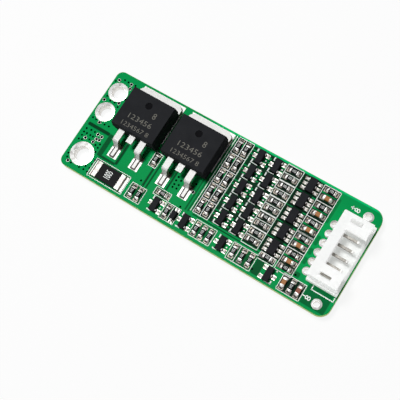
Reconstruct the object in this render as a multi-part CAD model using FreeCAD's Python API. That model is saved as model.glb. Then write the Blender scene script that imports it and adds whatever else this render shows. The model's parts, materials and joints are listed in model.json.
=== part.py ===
# Battery management board: a small circuit board with its soldered parts, in millimetres.
# The origin lies under the middle of the board, on the surface that the pin tails rest on.
# +X points to the connector end, +Y to the far long edge, +Z up from the parts' side.
import FreeCAD
import Part
import math
import os

Vector = FreeCAD.Vector

# Bare board
board_length = 60.0
board_width = 22.4
board_thickness = 1.6
corner_radius_header_end = 2.2
corner_radius_wire_end = 1.4
tail_below_board = 0.8          # how far the header's pins and solder stand out underneath
land_thickness = 0.06           # tinned copper that every surface part sits on

# Wire holes: bore, outer radius of the tinned ring on each face, place from the edges
ring_thickness = 0.12
ring_rim = 0.02                 # flat tin round the bore's mouth
large_round_sides = 24          # sides of the rings round the large bores
small_round_sides = 12          # sides of the small repeated round things
pack_bore_radius = 1.6
pack_ring_radius = 2.5
pack_hole_from_wire_end = 3.25
pack_hole_from_near_edge = 3.75
charge_bore_radius = 1.35
charge_ring_radius = 2.05
charge_holes_from_wire_end = 2.35
charge_holes_from_far_edge = 4.28
charge_holes_pitch = 4.8
cell_bore_radius = 0.6
cell_ring_radius = 1.0
cell_holes_from_header_end = 2.65
cell_holes_outwards = 0.08      # from the middle of the strip beside the header
header_end_holes_off_middle = 0.15      # cell and sense wires' holes, towards the near edge
sense_bore_radius = 0.45
sense_ring_radius = 0.82

# Six-way side-entry header
pin_count = 6
pin_pitch = 2.0
pin_thickness = 0.5
pin_height = 2.4                # centre of the contacts above the board
pin_tip_chamfer = 0.12
pin_bend_corner = 0.35
pin_hole_radius = 0.42
pin_row_behind_back_wall = 0.65
pin_tip_short_of_mouth = 1.2
joint_radius = 0.75
joint_neck_radius = 0.4
joint_depth = 0.6
header_off_middle = 0.5         # towards the far edge
header_end_margin = 1.7         # housing beyond the outer pins
header_depth = 6.2
header_height = 4.8
header_front_setback = 0.27
header_wall = 0.75
header_back_wall = 1.85
header_mouth_chamfer = 0.45
header_edge_radius = 0.25
header_notch_width = 7.1
header_window_width = 0.75
header_window_length = 2.3
header_window_from_side = 0.85
header_skirt_height = 1.9       # lower part of the socket, wider and longer than the rest
header_skirt_front = 0.3
header_skirt_side = 0.45
header_relief_height = 0.35
header_relief_length = 1.75
sense_row_behind_header = 0.75

# Power transistors in a flat tabbed package
power_case_width = 9.8
power_case_depth = 8.6
power_case_height = 4.45
power_parting_height = 2.65
power_draft_degrees = 5.0
power_case_from_pack_ring = 0.75
power_case_gap = 1.7
power_case_to_bleed_column = 1.0
power_front_from_near_edge = 11.2
power_tab_inset = 0.05
power_tab_thickness = 1.27
power_tab_reach = 1.7
power_tab_corner = 0.8
power_slug_inset = 0.9
power_slug_setback = 2.0
power_lead_pitch = 2.54
power_lead_width = 1.3
power_lead_thickness = 0.5
power_lead_in_case = 1.0
power_lead_shoulder = 2.5       # from the case to the outer bend
power_lead_slope = 0.55
power_lead_reach = 5.15
power_foot_width = 0.9
power_lead_taper = 0.45
power_stub_reach = 1.6
power_dimple_radius = 0.72
power_dimple_depth = 0.12
power_dimple_from_front = 6.35
power_land_width = 2.05
power_land_length = 3.0
power_land_past_foot = 0.1
power_tab_land_side = 0.05
power_tab_land_margin = 0.4

# Shunt resistor
shunt_length = 6.35
shunt_width = 3.2
shunt_height = 0.6
shunt_cap_length = 0.9
shunt_from_near_edge = 2.6
shunt_land_length = 1.95
shunt_land_margin = 0.05
shunt_land_past_end = 0.65

# Small chip resistors and capacitors
chip_length = 1.6
chip_width = 0.8
resistor_height = 0.45
capacitor_height = 0.7
resistor_cap_length = 0.22
capacitor_cap_length = 0.36
chip_land_length = 0.95
chip_land_width = 0.98
chip_land_past_end = 0.65

# Three-lead and six-lead small packages
small_case_length = 2.9
small_case_height = 1.0
small_standoff = 0.1
small_draft_degrees = 7.0
transistor_case_width = 1.3
transistor_lead_pitch = 1.9
transistor_lead_width = 0.42
transistor_lead_reach = 0.55
transistor_land_length = 0.9
transistor_land_width = 0.82
monitor_case_width = 1.6
monitor_lead_pitch = 0.95
monitor_lead_width = 0.36
monitor_lead_reach = 0.62
monitor_land_length = 0.92
monitor_land_width = 0.55
small_lead_thickness = 0.13
small_lead_in_case = 0.15
small_lead_top = 0.68
small_lead_shoulder = 0.17
small_lead_slope = 0.1
small_land_past_foot = 0.35

# Two-lead diode
diode_case_width = 1.1
diode_case_length = 1.7
diode_lead_width = 0.4
diode_lead_reach = 0.4
diode_land_length = 0.75
diode_land_width = 0.72

# Rows and columns of small parts: as many rows as the width leaves room for
row_pitch = 3.41
first_row_from_far_edge = 2.1
near_strip_width = 6.6
pair_offset = 0.78              # each row's two horizontal chips lie this far either side of it
bleed_columns_from_header_end = (30.5, 28.85)
transistor_columns_from_header_end = (25.7, 22.1)
gate_column_from_header_end = 18.7
monitor_column_from_header_end = 14.55
supply_column_from_header_end = 10.75
last_supply_resistor_from_near_edge = 4.55

# Near row: distances along it from the pack wire's ring, spread with the room up to the last ring
near_row_length = 50.6
near_row_from_near_edge = 2.4
shunt_along_row = 4.99
near_resistors = (10.65, 12.15, 18.7, 25.37, 26.83, 28.3, 33.7, 35.55, 37.2)
near_transistors = (16.13, 22.77, 31.03)
diode_along_row = 20.35
mirrored_transistor_along_row = 41.45
mirrored_transistor_from_near_edge = 1.95
output_group_from_near_edge = 2.15
output_capacitor_along_row = 44.6
output_resistor_along_row = 46.15
timing_capacitor_along_row = 47.65

# Single resistors beside the power transistors and under the monitor column
bias_resistor_before_last_power = 0.95
bias_resistor_from_near_edge = 4.9
gate_stop_past_first_power = 5.55
gate_stop_from_near_edge = 10.05
output_bias_from_near_edge = 4.5

# Levels and edges worked out from the sizes above
board_bottom = tail_below_board
board_top = board_bottom + board_thickness
seat_level = board_top + land_thickness
wire_end = -board_length / 2
header_end = board_length / 2
near_edge = -board_width / 2
far_edge = board_width / 2
header_width = (pin_count - 1) * pin_pitch + 2 * header_end_margin
header_skirt_width = header_width + 2 * header_skirt_side
header_mouth_x = header_end - header_front_setback
header_rear_x = header_mouth_x - header_depth
back_wall_x = header_rear_x + header_back_wall
pin_row_x = back_wall_x - pin_row_behind_back_wall
sense_row_x = header_rear_x - sense_row_behind_header
cell_holes_from_edge = (board_width - header_skirt_width) / 4 - cell_holes_outwards
near_row_start_x = wire_end + pack_hole_from_wire_end + pack_ring_radius
near_row_end_x = header_end - cell_holes_from_header_end - cell_ring_radius
near_row_spread = (near_row_end_x - near_row_start_x) / near_row_length
power_start_x = near_row_start_x + power_case_from_pack_ring
power_spacing = power_case_width + power_case_gap
power_tab_width = power_case_width - 2 * power_tab_inset
power_slug_width = power_case_width - 2 * power_slug_inset
power_tab_land_width = power_tab_width + 2 * power_tab_land_side
row_count = 1 + int((board_width - first_row_from_far_edge - near_strip_width) / row_pitch)


def box_between(x0, x1, y0, y1, z0, z1):
    return Part.makeBox(x1 - x0, y1 - y0, z1 - z0, Vector(x0, y0, z0))


def centred_box(x, y, z, length, width, height):
    return box_between(x - length / 2, x + length / 2, y - width / 2, y + width / 2, z, z + height)


def cylinder(x, y, z, radius, height):
    return Part.makeCylinder(radius, height, Vector(x, y, z))


def prism(points, direction):
    corners = [Vector(*point) for point in points]
    return Part.Face(Part.makePolygon(corners + corners[:1])).extrude(Vector(*direction))


def ring_of(length, width, z):
    half_x, half_y = length / 2, width / 2
    corners = ((-half_x, -half_y), (half_x, -half_y), (half_x, half_y), (-half_x, half_y))
    points = [Vector(x, y, z) for x, y in corners]
    return Part.makePolygon(points + points[:1])


def moulded_block(length, width, bottom, parting, top, draft_degrees):
    # A moulded case is widest at its parting line and draws in above and below it.
    slope = math.tan(math.radians(draft_degrees))
    lower_inset = 2 * (parting - bottom) * slope
    upper_inset = 2 * (top - parting) * slope
    middle = ring_of(length, width, parting)
    lower = Part.makeLoft([ring_of(length - lower_inset, width - lower_inset, bottom), middle], True, True)
    upper = Part.makeLoft([middle, ring_of(length - upper_inset, width - upper_inset, top)], True, True)
    return lower.fuse(upper).removeSplitter()


def turned(shape, degrees):
    copy = shape.copy()
    copy.rotate(Vector(0, 0, 0), Vector(0, 0, 1), degrees)
    return copy


def moved(shape, x, y, z=0.0):
    copy = shape.copy()
    copy.translate(Vector(x, y, z))
    return copy


def many_sided(radius, z, sides):
    # A closed outline with few sides, for small round things that repeat.
    step = 2 * math.pi / sides
    points = [Vector(radius * math.cos(step * (side + 0.5)), radius * math.sin(step * (side + 0.5)), z)
              for side in range(sides)]
    return Part.makePolygon(points + points[:1])


def few_sided(radius_low, low, radius_high, high, sides=small_round_sides):
    ends = [many_sided(radius_low, low, sides), many_sided(radius_high, high, sides)]
    return Part.makeLoft(ends, True, True)


def on_near_row(along, y):
    return near_row_start_x + along * near_row_spread, near_edge + y


def edges_at(shape, points):
    # The edges that run along X through the given (y, z) points.
    found = []
    for edge in shape.Edges:
        start, end = edge.Vertexes[0].Point, edge.Vertexes[-1].Point
        if abs(start.y - end.y) > 1e-6 or abs(start.z - end.z) > 1e-6:
            continue
        if any(abs(start.y - y) < 1e-6 and abs(start.z - z) < 1e-6 for y, z in points):
            found.append(edge)
    return found


def gull_lead(width, thickness, top, in_case, shoulder, slope, reach):
    # A lead that leaves the case along -Y, steps down and lies flat on its land.
    under = top - thickness
    heel = thickness - shoulder
    outline = [
        (0, in_case, top), (0, -shoulder, top), (0, -shoulder - slope, thickness), (0, -reach, thickness),
        (0, -reach, 0), (0, heel - slope, 0), (0, heel, under), (0, in_case, under)]
    return moved(prism(outline, (width, 0, 0)), -width / 2, 0)


def row_levels():
    first = far_edge - first_row_from_far_edge
    return [first - row_pitch * index for index in range(row_count)]


# Bare board and its plated holes

def ring_positions():
    pack = [(wire_end + pack_hole_from_wire_end, near_edge + pack_hole_from_near_edge)]
    first_charge_y = far_edge - charge_holes_from_far_edge
    charge_x = wire_end + charge_holes_from_wire_end
    charge = [(charge_x, first_charge_y - charge_holes_pitch * index) for index in (0, 1)]
    cell_x = header_end - cell_holes_from_header_end
    cell_y = far_edge - cell_holes_from_edge
    cell = [(cell_x, y - header_end_holes_off_middle) for y in (cell_y, -cell_y)]
    return {
        "pack_wire_rings": (pack, pack_bore_radius, pack_ring_radius),
        "charge_wire_rings": (charge, charge_bore_radius, charge_ring_radius),
        "cell_wire_rings": (cell, cell_bore_radius, cell_ring_radius)}


def sense_positions():
    return [(sense_row_x, y - header_end_holes_off_middle) for y in centred_rows()]


def centred_rows():
    middle = (pin_count - 1) / 2
    return [(middle - index) * pin_pitch for index in range(pin_count)]


def pin_rows():
    return [header_off_middle + y for y in centred_rows()]


def bare_board():
    plate = box_between(wire_end, header_end, near_edge, far_edge, board_bottom, board_top)
    upright = [edge for edge in plate.Edges if abs(edge.tangentAt(0).z) > 0.9]
    at_header = [edge for edge in upright if edge.Vertexes[0].X > 0]
    at_wires = [edge for edge in upright if edge.Vertexes[0].X < 0]
    plate = plate.makeFillet(corner_radius_header_end, at_header)
    upright = [edge for edge in plate.Edges if edge.Vertexes[0].X < 0 and abs(edge.tangentAt(0).z) > 0.9]
    corners = [edge for edge in upright if abs(edge.Vertexes[0].X - wire_end) < 1e-6]
    plate = plate.makeFillet(corner_radius_wire_end, corners[:len(at_wires)])
    drills = []
    for places, bore_radius, _ in ring_positions().values():
        drills += [cylinder(x, y, board_bottom, bore_radius, board_thickness) for x, y in places]
    sense_drill = few_sided(sense_bore_radius, board_bottom, sense_bore_radius, board_top)
    drills += [moved(sense_drill, x, y) for x, y in sense_positions()]
    pin_drill = few_sided(pin_hole_radius, board_bottom, pin_hole_radius, board_top)
    drills += [moved(pin_drill, pin_row_x, y) for y in pin_rows()]
    return plate.cut(drills)


def tinned_ring(bore_radius, ring_radius, sides):
    # Tin that slopes from the bore's mouth down to the ring's edge, drawn on the level z = 0.
    # Its sides stay clear of the bore that they go round.
    clear_radius = bore_radius / math.cos(math.pi / sides)
    ring = few_sided(ring_radius, 0, clear_radius + ring_rim, ring_thickness, sides)
    return ring.cut(few_sided(clear_radius, 0, clear_radius, ring_thickness, sides))


def ring_pair(ring, x, y):
    # The same ring on the parts' side and, turned over, on the solder side.
    below = ring.copy()
    below.rotate(Vector(0, 0, 0), Vector(1, 0, 0), 180)
    return [moved(ring, x, y, board_top), moved(below, x, y, board_bottom)]


def tinned_rings():
    nodes = {}
    for name, (places, bore_radius, ring_radius) in ring_positions().items():
        ring = tinned_ring(bore_radius, ring_radius, large_round_sides)
        nodes[name] = [solid for x, y in places for solid in ring_pair(ring, x, y)]
    ring = tinned_ring(sense_bore_radius, sense_ring_radius, small_round_sides)
    nodes["sense_wire_rings"] = [solid for x, y in sense_positions() for solid in ring_pair(ring, x, y)]
    return nodes


# Six-way header

def header_housing():
    # Drawn round the middle of the board, then moved to its place with room for the contacts.
    half = header_width / 2
    front = header_mouth_x - header_skirt_front
    body = box_between(header_rear_x, front, -half, half, board_top, board_top + header_height)
    rear_upright = [edge for edge in body.Edges
                    if abs(edge.tangentAt(0).z) > 0.9 and abs(edge.Vertexes[0].X - header_rear_x) < 1e-6]
    body = body.makeFillet(header_edge_radius, rear_upright)
    skirt_half = header_skirt_width / 2
    skirt = box_between(header_rear_x, header_mouth_x, -skirt_half, skirt_half, board_top,
                        board_top + header_skirt_height)
    body = body.fuse(skirt).removeSplitter()
    floor, roof = board_top + header_wall, board_top + header_height - header_wall
    inner = half - header_wall
    cavity = box_between(back_wall_x, header_mouth_x, -inner, inner, floor, roof)
    mouth = Part.makeLoft([
        mouth_wire(header_mouth_x - header_mouth_chamfer, inner, floor, roof, 0.0),
        mouth_wire(header_mouth_x, inner, floor, roof, header_mouth_chamfer)], True, True)
    notch = box_between(back_wall_x, header_mouth_x, -header_notch_width / 2, header_notch_width / 2, floor,
                        board_top + header_height)
    window_middle = half - header_window_from_side - header_window_width / 2
    windows = [box_between(back_wall_x, back_wall_x + header_window_length, y - header_window_width / 2,
                           y + header_window_width / 2, roof, board_top + header_height)
               for y in (window_middle, -window_middle)]
    relief = box_between(header_rear_x, header_rear_x + header_relief_length, -inner, inner, board_top,
                         board_top + header_relief_height)
    body = moved(body.cut([cavity, mouth, notch, relief] + windows), 0, header_off_middle)
    return body.cut([header_pin(y) for y in pin_rows()])


def mouth_wire(x, inner, floor, roof, growth):
    corners = [(-inner - growth, floor - growth), (inner + growth, floor - growth),
               (inner + growth, roof + growth), (-inner - growth, roof + growth)]
    points = [Vector(x, y, z) for y, z in corners]
    return Part.makePolygon(points + points[:1])


def header_pin(y):
    # One square contact, bent down through the board behind the socket's back wall.
    half = pin_thickness / 2
    middle = board_top + pin_height
    tip_x = header_mouth_x - pin_tip_short_of_mouth
    back, front = pin_row_x - half, pin_row_x + half
    tail = board_bottom - tail_below_board
    outline = [
        (back, 0, tail), (front, 0, tail), (front, 0, middle - half), (tip_x, 0, middle - half),
        (tip_x, 0, middle + half), (back + pin_bend_corner, 0, middle + half),
        (back, 0, middle + half - pin_bend_corner)]
    pin = moved(prism(outline, (0, pin_thickness, 0)), 0, -half)
    tip = [edge for edge in pin.Edges if all(abs(vertex.X - tip_x) < 1e-6 for vertex in edge.Vertexes)]
    return moved(pin.makeChamfer(pin_tip_chamfer, tip), 0, y)


def header_joint(y):
    # Solder that fills the hole round the pin and cones off on the underside.
    stem = few_sided(pin_hole_radius, board_bottom, pin_hole_radius, board_top)
    cone = few_sided(joint_neck_radius, board_bottom - joint_depth, joint_radius, board_bottom)
    return moved(stem.fuse(cone), pin_row_x, y).cut(header_pin(y))


def header_nodes():
    nodes = {"header_housing": [header_housing()]}
    nodes["header_solder_joints"] = [header_joint(y) for y in pin_rows()]
    for number, y in enumerate(pin_rows(), 1):
        nodes["header_pin_%d" % number] = [header_pin(y)]
    return nodes


# Power transistors, drawn round the middle of the case's front face at seat level

def power_lead():
    top = power_parting_height + power_lead_thickness / 2
    lead = gull_lead(power_lead_width, power_lead_thickness, top, power_lead_in_case, power_lead_shoulder,
                     power_lead_slope, power_lead_reach)
    under = top - power_lead_thickness
    foot_heel = power_lead_thickness - power_lead_shoulder - power_lead_slope
    outer = edges_at(lead, [(-power_lead_shoulder, top), (foot_heel, 0)])
    lead = lead.makeFillet(power_lead_thickness, outer)
    inner = edges_at(lead, [(power_lead_thickness - power_lead_shoulder, under),
                            (-power_lead_shoulder - power_lead_slope, power_lead_thickness)])
    lead = lead.makeFillet(power_lead_thickness / 2, inner)
    wide, narrow = power_lead_width / 2, power_foot_width / 2
    shoulder, toe = -power_lead_shoulder, -power_lead_reach
    plan = [(wide, power_lead_in_case, 0), (-wide, power_lead_in_case, 0), (-wide, shoulder, 0),
            (-narrow, shoulder - power_lead_taper, 0), (-narrow, toe, 0), (narrow, toe, 0),
            (narrow, shoulder - power_lead_taper, 0), (wide, shoulder, 0)]
    return lead.common(prism(plan, (0, 0, top)))


def power_drain_frame():
    # Tab, heat slug, riser and centre stub are one stamped and bent piece of metal.
    back = power_case_depth + power_tab_reach
    half, corner = power_tab_width / 2, power_tab_corner
    slug_half = power_slug_width / 2
    neck = power_case_depth - corner
    right_half = [(slug_half, power_slug_setback), (slug_half, neck), (half, power_case_depth),
                  (half, back - corner), (half - corner, back)]
    left_half = [(-x, y) for x, y in reversed(right_half)]
    plan = [(x, y, 0) for x, y in right_half + left_half]
    slug = prism(plan, (0, 0, power_tab_thickness))
    top = power_parting_height + power_lead_thickness / 2
    half_lead = power_lead_width / 2
    riser_back = power_slug_setback + power_lead_thickness
    riser = box_between(-half_lead, half_lead, power_slug_setback, riser_back, power_tab_thickness / 2, top)
    stub = box_between(-half_lead, half_lead, -power_stub_reach, riser_back, top - power_lead_thickness, top)
    return slug.fuse([riser, stub]).removeSplitter()


def power_case():
    block = moulded_block(power_case_width, power_case_depth, 0, power_parting_height, power_case_height,
                          power_draft_degrees)
    block = moved(block, 0, power_case_depth / 2)
    dimple = few_sided(power_dimple_radius, power_case_height - power_dimple_depth, power_dimple_radius,
                       power_case_height)
    dimple = moved(dimple, 0, power_dimple_from_front)
    return block.cut([dimple, power_drain_frame()] + [moved(power_lead(), x, 0) for x in power_outer_leads()])


def power_outer_leads():
    return (-power_lead_pitch, power_lead_pitch)


def power_places():
    # As many as fit between the pack wire's ring and the first column of bleed resistors.
    y = near_edge + power_front_from_near_edge
    end_x = header_end - bleed_columns_from_header_end[0] - chip_land_width / 2 - power_case_to_bleed_column
    count = int((end_x - power_start_x + power_case_gap) / power_spacing)
    return [(power_start_x + power_case_width / 2 + power_spacing * index, y) for index in range(count)]


def power_nodes():
    nodes = {}
    for number, (x, y) in enumerate(power_places(), 1):
        name = "power_transistor_%d_" % number
        nodes[name + "case"] = [moved(power_case(), x, y, seat_level)]
        nodes[name + "drain_frame"] = [moved(power_drain_frame(), x, y, seat_level)]
        for lead_name, offset in zip(("gate_lead", "source_lead"), power_outer_leads()):
            nodes[name + lead_name] = [moved(power_lead(), x + offset, y, seat_level)]
    return nodes


def power_lands():
    lands = []
    toe = power_lead_reach + power_land_past_foot
    back = power_case_depth + power_tab_reach + power_tab_land_margin
    for x, y in power_places():
        for offset in power_outer_leads():
            middle = y - toe + power_land_length / 2
            lands.append(centred_box(x + offset, middle, board_top, power_land_width, power_land_length,
                                     land_thickness))
        half = power_tab_land_width / 2
        lands.append(box_between(x - half, x + half, y + power_slug_setback, y + back, board_top, seat_level))
    return lands


# Chip resistors and capacitors, drawn along X round the origin at seat level

def capped_chip(length, width, height, cap_length):
    # The end caps sit on both ends of the bare body, with their outer faces flush with it.
    body = centred_box(0, 0, 0, length - 2 * cap_length, width, height)
    cap = box_between(length / 2 - cap_length, length / 2, -width / 2, width / 2, 0, height)
    return body, [cap, turned(cap, 180)]


def chip_group(name, chip, places):
    # Places hold x, y and the turn in degrees.
    body, caps = chip
    bodies = [moved(turned(body, turn), x, y, seat_level) for x, y, turn in places]
    ends = [moved(turned(cap, turn), x, y, seat_level) for x, y, turn in places for cap in caps]
    return {name + "_bodies": bodies, name + "_end_caps": ends}


def resistor():
    return capped_chip(chip_length, chip_width, resistor_height, resistor_cap_length)


def capacitor():
    return capped_chip(chip_length, chip_width, capacitor_height, capacitor_cap_length)


def bleed_places():
    return [(header_end - x, y, 90) for x in bleed_columns_from_header_end for y in row_levels()]


def gate_places():
    x = header_end - gate_column_from_header_end
    return [(x, y + offset, 0) for y in row_levels() for offset in (pair_offset, -pair_offset)]


def supply_places():
    x = header_end - supply_column_from_header_end
    rows = [(x, y + pair_offset, 0) for y in row_levels()]
    return rows + [(x, near_edge + last_supply_resistor_from_near_edge, 0)]


def control_places():
    upright = [on_near_row(along, near_row_from_near_edge) for along in near_resistors]
    upright.append(on_near_row(output_resistor_along_row, output_group_from_near_edge))
    upright.append((power_places()[0][0] + gate_stop_past_first_power, near_edge + gate_stop_from_near_edge))
    bias_x = power_places()[-1][0] - bias_resistor_before_last_power
    output_bias_x = header_end - monitor_column_from_header_end
    lying = [(bias_x, near_edge + bias_resistor_from_near_edge),
             (output_bias_x, near_edge + output_bias_from_near_edge)]
    return [(x, y, 90) for x, y in upright] + [(x, y, 0) for x, y in lying]


def filter_places():
    x = header_end - supply_column_from_header_end
    column = [(x, y - pair_offset, 0) for y in row_levels()]
    return column + [on_near_row(output_capacitor_along_row, output_group_from_near_edge) + (90,)]


def timing_places():
    return [on_near_row(timing_capacitor_along_row, output_group_from_near_edge) + (90,)]


def chip_nodes():
    nodes = {}
    nodes.update(chip_group("bleed_resistor", resistor(), bleed_places()))
    nodes.update(chip_group("gate_resistor", resistor(), gate_places()))
    nodes.update(chip_group("supply_resistor", resistor(), supply_places()))
    nodes.update(chip_group("control_resistor", resistor(), control_places()))
    nodes.update(chip_group("filter_capacitor", capacitor(), filter_places()))
    nodes.update(chip_group("timing_capacitor", capacitor(), timing_places()))
    return nodes


def chip_lands():
    places = bleed_places() + gate_places() + supply_places() + control_places()
    places += filter_places() + timing_places()
    offset = chip_length / 2 + chip_land_past_end - chip_land_length / 2
    land = centred_box(offset, 0, board_top, chip_land_length, chip_land_width, land_thickness)
    return [moved(turned(land, turn + half_turn), x, y) for x, y, turn in places for half_turn in (0, 180)]


def shunt_nodes():
    x, y = on_near_row(shunt_along_row, shunt_from_near_edge)
    body, caps = capped_chip(shunt_length, shunt_width, shunt_height, shunt_cap_length)
    return {"shunt_body": [moved(body, x, y, seat_level)],
            "shunt_end_caps": [moved(cap, x, y, seat_level) for cap in caps]}


def shunt_lands():
    x, y = on_near_row(shunt_along_row, shunt_from_near_edge)
    offset = shunt_length / 2 + shunt_land_past_end - shunt_land_length / 2
    width = shunt_width + 2 * shunt_land_margin
    return [centred_box(x + side * offset, y, board_top, shunt_land_length, width, land_thickness)
            for side in (-1, 1)]


# Small moulded packages, drawn with the case's long side along Y round the origin

def small_lead(width, case_half_width, reach, along, side):
    # side is 1 for a lead on the +X side of the case and -1 for the other side.
    lead = gull_lead(width, small_lead_thickness, small_lead_top, small_lead_in_case, small_lead_shoulder,
                     small_lead_slope, reach)
    return moved(turned(lead, 90 * side), side * case_half_width, along)


def small_package(case_width, case_length, lead_width, lead_reach, lead_places):
    parting = small_lead_top - small_lead_thickness / 2
    case = moulded_block(case_width, case_length, small_standoff, parting, small_case_height + small_standoff,
                         small_draft_degrees)
    leads = [small_lead(lead_width, case_width / 2, lead_reach, along, side) for along, side in lead_places]
    return case.cut(leads), leads


def transistor_lead_places():
    return ((0, -1), (transistor_lead_pitch / 2, 1), (-transistor_lead_pitch / 2, 1))


def transistor():
    return small_package(transistor_case_width, small_case_length, transistor_lead_width, transistor_lead_reach,
                         transistor_lead_places())


def monitor_lead_places():
    return [(along * monitor_lead_pitch, side) for side in (-1, 1) for along in (-1, 0, 1)]


def monitor_chip():
    return small_package(monitor_case_width, small_case_length, monitor_lead_width, monitor_lead_reach,
                         monitor_lead_places())


def diode():
    # The diode's two leads leave the short ends of its case.
    case, leads = small_package(diode_case_length, diode_case_width, diode_lead_width, diode_lead_reach,
                                ((0, -1), (0, 1)))
    return turned(case, 90), [turned(lead, 90) for lead in leads]


def package_group(case_name, lead_name, package, places):
    case, leads = package
    cases = [moved(turned(case, turn), x, y, seat_level) for x, y, turn in places]
    placed_leads = [moved(turned(lead, turn), x, y, seat_level) for x, y, turn in places for lead in leads]
    return {case_name: cases, lead_name: placed_leads}


def transistor_column_places(column):
    x = header_end - transistor_columns_from_header_end[column]
    return [(x, y, 0) for y in row_levels()]


def control_transistor_places():
    row = [on_near_row(along, near_row_from_near_edge) + (0,) for along in near_transistors]
    return row + [on_near_row(mirrored_transistor_along_row, mirrored_transistor_from_near_edge) + (180,)]


def monitor_places():
    return [(header_end - monitor_column_from_header_end, y, 0) for y in row_levels()]


def diode_places():
    return [on_near_row(diode_along_row, near_row_from_near_edge) + (0,)]


def small_package_nodes():
    nodes = {}
    three_lead = transistor()
    for column in (0, 1):
        name = "balance_transistor_column_%d_" % (column + 1)
        nodes.update(package_group(name + "cases", name + "leads", three_lead, transistor_column_places(column)))
    nodes.update(package_group("control_transistor_cases", "control_transistor_leads", three_lead,
                               control_transistor_places()))
    nodes.update(package_group("diode_case", "diode_leads", diode(), diode_places()))
    for number, place in enumerate(monitor_places(), 1):
        name = "monitor_chip_%d_" % number
        nodes.update(package_group(name + "case", name + "leads", monitor_chip(), [place]))
    return nodes


def land_row(case_width, lead_reach, length, width, lead_places, places):
    # One land under each foot, a little past the foot's tip.
    offset = case_width / 2 + lead_reach + small_land_past_foot - length / 2
    lands = []
    for along, side in lead_places:
        land = centred_box(side * offset, along, board_top, length, width, land_thickness)
        lands += [moved(turned(land, turn), x, y) for x, y, turn in places]
    return lands


def package_lands():
    transistors = transistor_column_places(0) + transistor_column_places(1) + control_transistor_places()
    lands = land_row(transistor_case_width, transistor_lead_reach, transistor_land_length, transistor_land_width,
                     transistor_lead_places(), transistors)
    lands += land_row(monitor_case_width, monitor_lead_reach, monitor_land_length, monitor_land_width,
                      monitor_lead_places(), monitor_places())
    lands += land_row(diode_case_length, diode_lead_reach, diode_land_length, diode_land_width,
                      ((0, -1), (0, 1)), [(x, y, 90) for x, y, _ in diode_places()])
    return lands


# Export

def all_nodes():
    nodes = {"board": [bare_board()]}
    nodes.update(tinned_rings())
    nodes.update(header_nodes())
    nodes.update(power_nodes())
    nodes.update(shunt_nodes())
    nodes.update(chip_nodes())
    nodes.update(small_package_nodes())
    nodes["power_lands"] = power_lands()
    nodes["shunt_lands"] = shunt_lands()
    nodes["chip_lands"] = chip_lands()
    nodes["package_lands"] = package_lands()
    return nodes


os.makedirs("parts", exist_ok=True)
for node, solids in all_nodes().items():
    shape = solids[0] if len(solids) == 1 else Part.makeCompound(solids)
    shape.exportStep("parts/%s.step" % node)
    print(node, len(shape.Solids), "solids")
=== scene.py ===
# Looks of the battery management board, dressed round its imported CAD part.
# Lengths are metres in the CAD frame. Layouts are in millimetres from the board's near wire-end corner.
import json
import math

import bmesh
import bpy
from mathutils import Matrix, Vector


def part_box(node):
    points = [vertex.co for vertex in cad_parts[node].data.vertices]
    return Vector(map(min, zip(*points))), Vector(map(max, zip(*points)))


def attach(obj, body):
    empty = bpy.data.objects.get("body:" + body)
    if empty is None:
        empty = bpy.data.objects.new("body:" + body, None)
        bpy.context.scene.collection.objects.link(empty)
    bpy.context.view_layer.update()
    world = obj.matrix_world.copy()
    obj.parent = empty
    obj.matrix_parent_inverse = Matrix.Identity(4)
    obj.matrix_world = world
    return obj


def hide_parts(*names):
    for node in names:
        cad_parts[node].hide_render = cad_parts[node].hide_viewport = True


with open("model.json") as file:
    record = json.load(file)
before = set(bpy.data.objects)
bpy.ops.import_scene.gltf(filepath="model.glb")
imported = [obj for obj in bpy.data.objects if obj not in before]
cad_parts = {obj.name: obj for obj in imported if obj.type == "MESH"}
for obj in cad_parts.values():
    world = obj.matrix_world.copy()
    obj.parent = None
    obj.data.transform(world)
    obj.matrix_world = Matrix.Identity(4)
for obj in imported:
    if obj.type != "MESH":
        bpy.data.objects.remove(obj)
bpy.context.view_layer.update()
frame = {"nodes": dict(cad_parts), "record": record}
nodes = frame["nodes"]
boardLow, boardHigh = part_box("board")
mm = 0.001
boardTop = boardHigh.z
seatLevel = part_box("chip_lands")[1].z


def place(x, y, z=0.0):
    # A point given in millimetres from the near wire-end corner and above the board's top.
    return Vector((boardLow.x + x * mm, boardLow.y + y * mm, boardTop + z * mm))


def inMetres(settings):
    return {name: value * mm for name, value in settings.items()}


# Shader and geometry maths

class Signal:
    # One node socket, so that masks and sizes read as plain expressions.
    def __init__(self, graph, socket):
        self.graph = graph
        self.socket = socket

    def maths(self, operation, *others, first=True):
        values = (self,) + others if first else others + (self,)
        return self.graph.add("ShaderNodeMath", {"operation": operation}, dict(enumerate(values)))

    def __add__(self, other):
        return self.maths("ADD", other)

    __radd__ = __add__

    def __sub__(self, other):
        return self.maths("SUBTRACT", other)

    def __rsub__(self, other):
        return self.maths("SUBTRACT", other, first=False)

    def __mul__(self, other):
        return self.maths("MULTIPLY", other)

    __rmul__ = __mul__

    def __abs__(self):
        return self.maths("ABSOLUTE")

    def atLeast(self, other):
        return self.maths("MAXIMUM", other)

    def power(self, exponent):
        return self.maths("POWER", exponent)

    def ramp(self, low, high):
        # 0 below low and 1 above high, with a soft step between them.
        inputs = {"Value": self, "From Min": low, "From Max": high}
        return self.graph.add("ShaderNodeMapRange", {"interpolation_type": "SMOOTHSTEP"}, inputs)

    def output(self, name):
        return Signal(self.graph, self.socket.node.outputs[name])


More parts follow.
